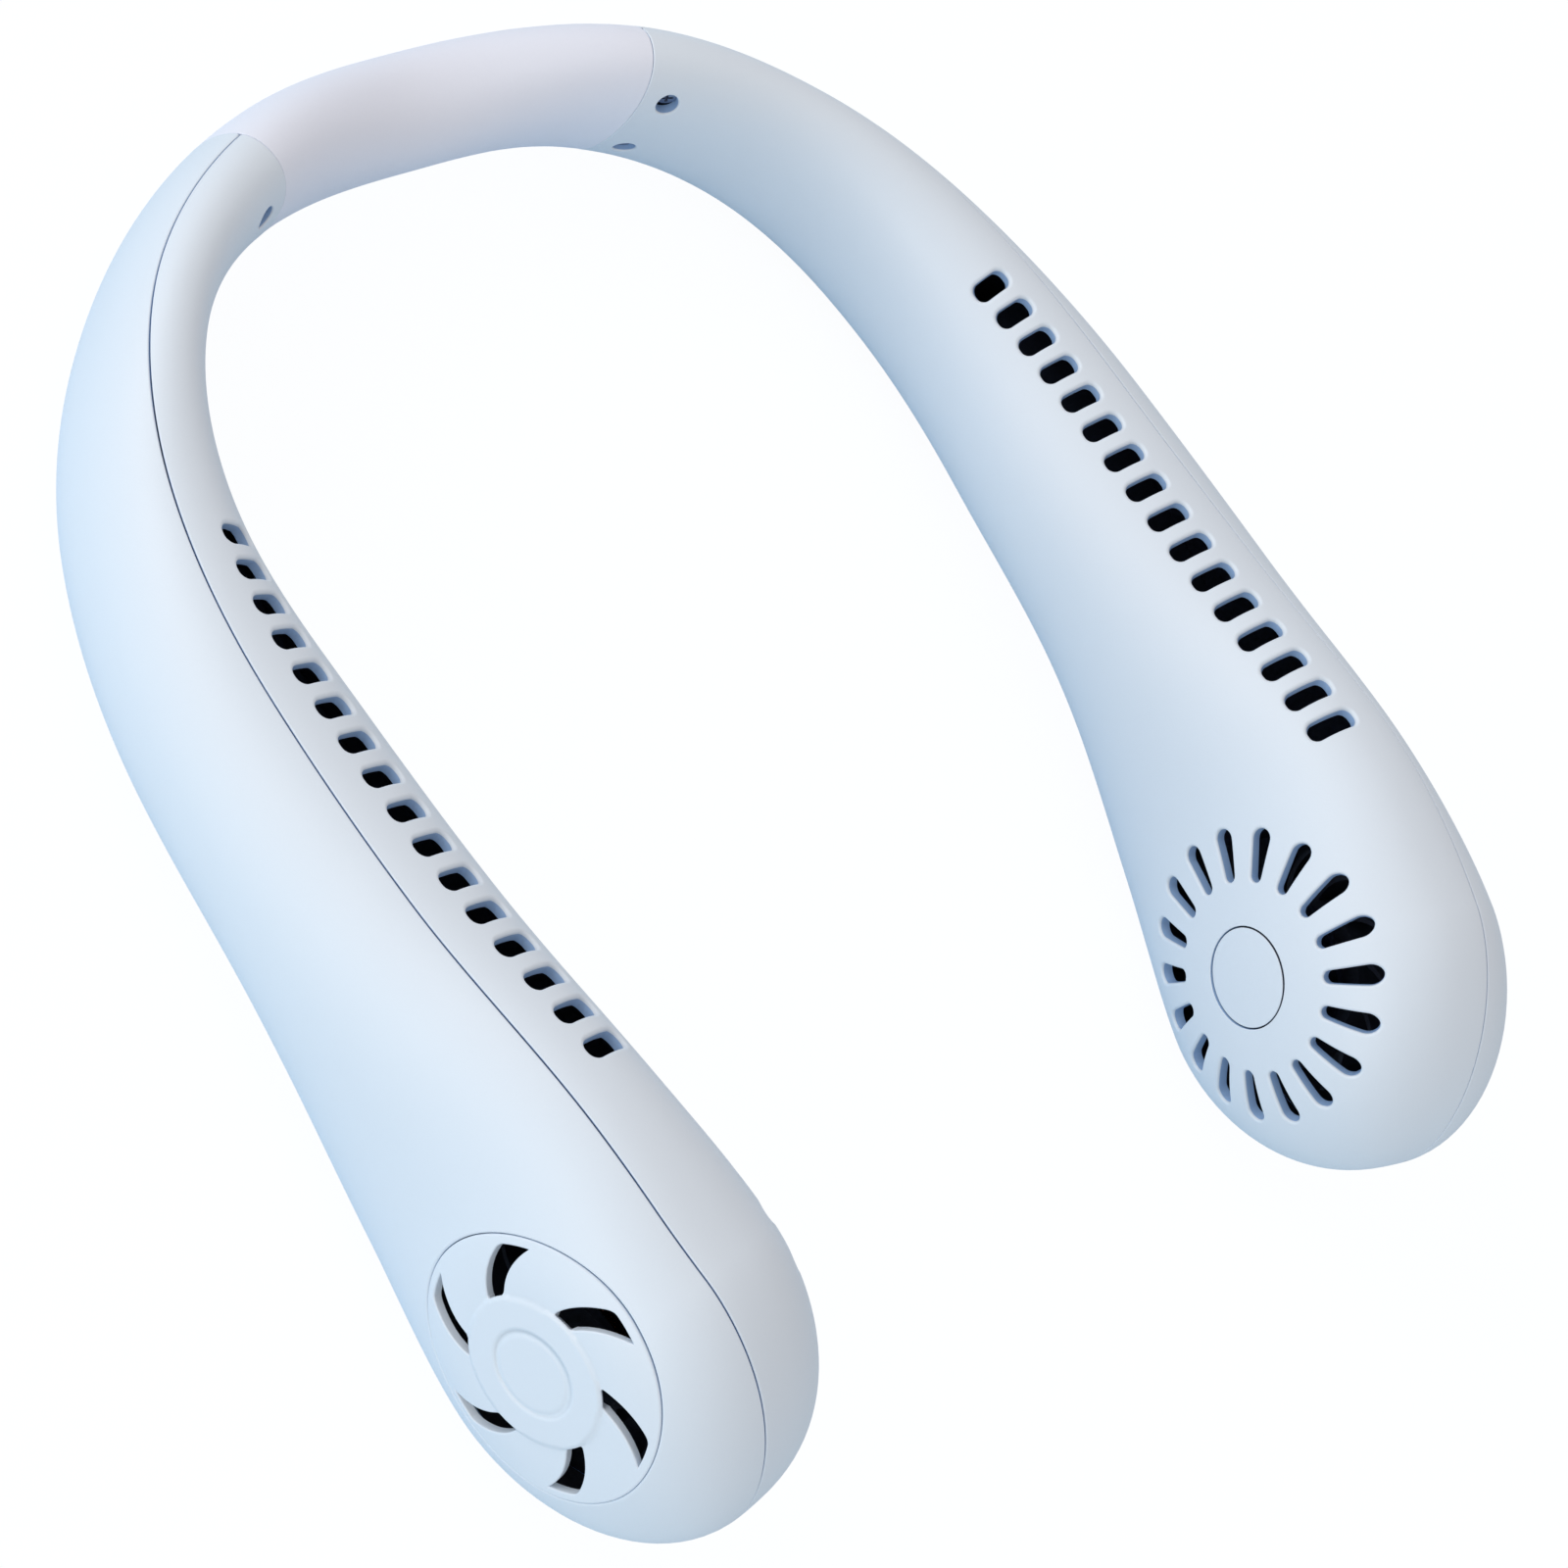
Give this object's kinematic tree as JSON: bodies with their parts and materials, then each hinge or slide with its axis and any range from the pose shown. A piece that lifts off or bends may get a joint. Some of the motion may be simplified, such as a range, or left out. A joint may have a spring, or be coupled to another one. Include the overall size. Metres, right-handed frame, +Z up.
{
  "type": "electric neck fan",
  "caption": "U-shaped wearable neck fan: two hollow arms with round fan pods and air slots along the upper edge, joined behind the neck by a soft flexible band.",
  "frame": {"origin": "middle of the bounding box in plan, on the surface the fan rests on", "axes": "+Z up, +Y from the pods to the neckband, +X to the right arm as seen from above with the band at the top"},
  "size_m": [0.1904, 0.2118, 0.0591],
  "materials": {
    "shell_plastic": "satin moulded",
    "silicone": "matte soft touch",
    "dark_plastic": "moulded",
    "steel": "satin",
    "bronze": "sintered",
    "core_steel": "laminated core with wound coils",
    "cell_metal": "sleeved",
    "magnet": "bonded magnet",
    "board_green": "solder mask",
    "wire_jacket": "flat cable"
  },
  "bodies": {
    "arm_right": {"right_inner_shell": "shell_plastic", "right_outer_shell": "shell_plastic", "right_swirl_cover": "shell_plastic", "right_motor_bracket": "dark_plastic", "right_motor_screws": "steel", "right_bearing_bush": "bronze", "right_stator": "core_steel", "right_duct_wall": "dark_plastic", "right_battery_cell": "cell_metal", "right_band_sleeve": "silicone", "right_band_plug": "dark_plastic", "right_band_screws": "steel", "switch_board": "board_green", "control_board": "board_green", "charging_socket": "steel", "band_core": "steel", "band_wire": "wire_jacket"},
    "arm_left": {"left_inner_shell": "shell_plastic", "left_outer_shell": "shell_plastic", "left_swirl_cover": "shell_plastic", "left_motor_bracket": "dark_plastic", "left_motor_screws": "steel", "left_bearing_bush": "bronze", "left_stator": "core_steel", "left_duct_wall": "dark_plastic", "left_battery_cell": "cell_metal", "left_band_sleeve": "silicone", "left_band_plug": "dark_plastic", "left_band_screws": "steel", "left_disc_cap": "shell_plastic"},
    "impeller_right": {"right_impeller": "dark_plastic", "right_magnet_ring": "magnet", "right_shaft": "steel"},
    "impeller_left": {"left_impeller": "dark_plastic", "left_magnet_ring": "magnet", "left_shaft": "steel"},
    "power_button": {"power_button": "shell_plastic"}
  },
  "joints": [
    {"name": "band_flex", "type": "hinge", "parent": "arm_right", "child": "arm_left", "pos_m": [0, 0.09776, 0.0131], "axis": [0, 0, -1], "range_deg": [-8, 25], "stiffness_Nm_per_rad": 1, "deforming": ["right_band_sleeve", "left_band_sleeve", "band_core", "band_wire"]},
    {"name": "impeller_right_spin", "type": "hinge", "parent": "arm_right", "child": "impeller_right", "pos_m": [0.074, -0.07436, 0.0317], "axis": [0.9816, -0.1908, 0], "continuous": true},
    {"name": "impeller_left_spin", "type": "hinge", "parent": "arm_left", "child": "impeller_left", "pos_m": [-0.074, -0.07436, 0.0317], "axis": [-0.9816, -0.1908, 0], "continuous": true},
    {"name": "power_button_press", "type": "slide", "parent": "arm_right", "child": "power_button", "axis": [0.9816, -0.1908, 0], "range_m": [0, 0.0006], "stiffness_N_per_m": 1500}
  ]
}
